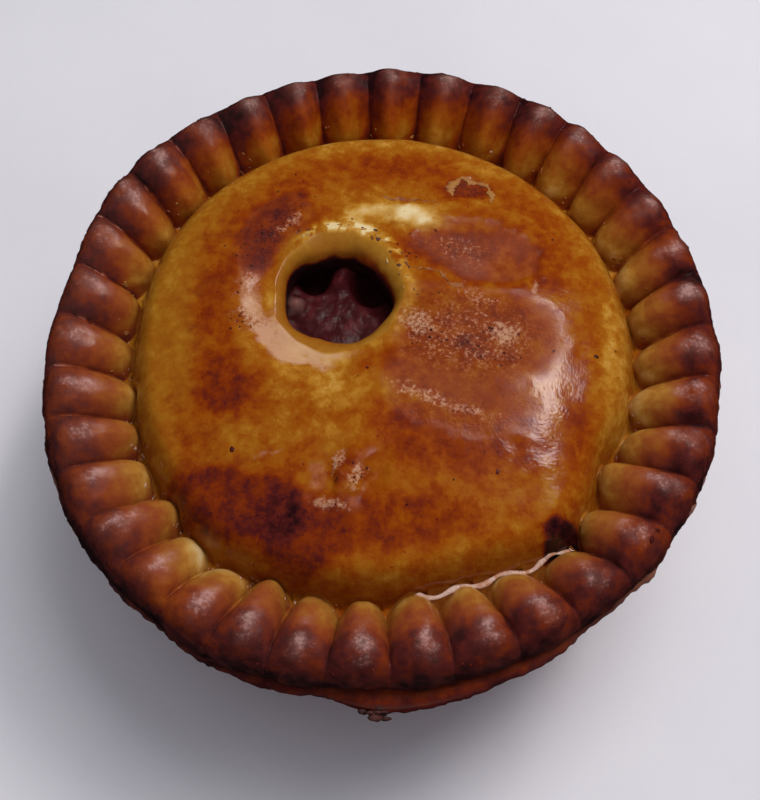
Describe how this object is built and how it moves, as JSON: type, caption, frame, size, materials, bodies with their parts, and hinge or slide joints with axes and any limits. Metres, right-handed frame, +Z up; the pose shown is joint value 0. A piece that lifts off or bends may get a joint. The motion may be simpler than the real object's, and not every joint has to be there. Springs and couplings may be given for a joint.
{
  "type": "pork pie",
  "caption": "Small round raised pork pie with a crimped golden-brown crust, a domed lid and an open steam hole that shows the meat.",
  "frame": {"origin": "middle of the flat base, on the surface that the pie stands on", "axes": "+Z straight up through the lid; the steam hole lies off the middle, towards -X and +Y, and the camera side is -Y"},
  "size_m": [0.0965, 0.0986, 0.0506],
  "materials": {
    "baked_crust": "hot-water pastry, egg-washed and baked from golden to dark mahogany, satin gloss",
    "pork_meat": "coarse cooked pork, dark and moist",
    "savoury_jelly": "clear amber set jelly, wet gloss"
  },
  "bodies": {
    "root": {"crust": "baked_crust", "meat": "pork_meat", "jelly_pool": "savoury_jelly"}
  },
  "joints": []
}
